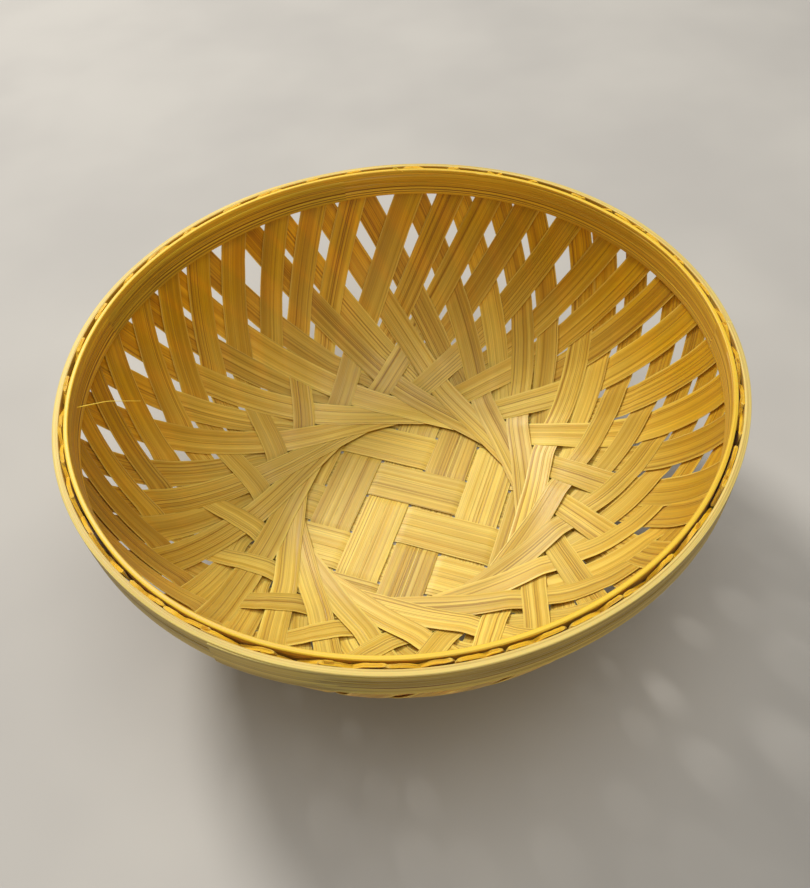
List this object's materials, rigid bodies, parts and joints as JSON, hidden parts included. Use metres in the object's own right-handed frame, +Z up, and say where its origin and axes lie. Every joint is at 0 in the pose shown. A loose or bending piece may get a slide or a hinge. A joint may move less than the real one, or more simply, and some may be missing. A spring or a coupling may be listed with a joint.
{
  "type": "bread basket",
  "caption": "Round open bread basket woven from flat bamboo splints, with a rosette ring in the base and a double hoop rim.",
  "frame": {"origin": "centre of the base underside, on the surface the basket stands on", "axes": "+Z up through the open mouth, X and Y in the plane of the base, weave turned 23 degrees about Z"},
  "size_m": [0.25, 0.25, 0.1011],
  "materials": {
    "ring_splint": "satin split bamboo, dyed golden towards the ends",
    "base_splint": "satin split bamboo, natural in the base and golden towards the ends",
    "hoop_inside": "satin golden bamboo strip with long splits",
    "hoop_outside": "dull weathered bamboo strip with a pale top edge"
  },
  "bodies": {
    "root": {"ring_strip_01": "ring_splint", "ring_strip_02": "ring_splint", "ring_strip_03": "ring_splint", "ring_strip_04": "ring_splint", "ring_strip_05": "ring_splint", "ring_strip_06": "ring_splint", "ring_strip_07": "ring_splint", "ring_strip_08": "ring_splint", "ring_strip_09": "ring_splint", "ring_strip_10": "ring_splint", "ring_strip_11": "ring_splint", "ring_strip_12": "ring_splint", "ring_strip_13": "ring_splint", "ring_strip_14": "ring_splint", "ring_strip_15": "ring_splint", "ring_strip_16": "ring_splint", "ring_strip_17": "ring_splint", "ring_strip_18": "ring_splint", "ring_strip_19": "ring_splint", "ring_strip_20": "ring_splint", "base_warp_1": "base_splint", "base_warp_2": "base_splint", "base_warp_3": "base_splint", "base_warp_4": "base_splint", "base_warp_5": "base_splint", "base_warp_6": "base_splint", "base_weft_1": "base_splint", "base_weft_2": "base_splint", "base_weft_3": "base_splint", "base_weft_4": "base_splint", "base_weft_5": "base_splint", "base_weft_6": "base_splint", "inner_hoop": "hoop_inside", "outer_hoop": "hoop_outside"}
  },
  "joints": []
}
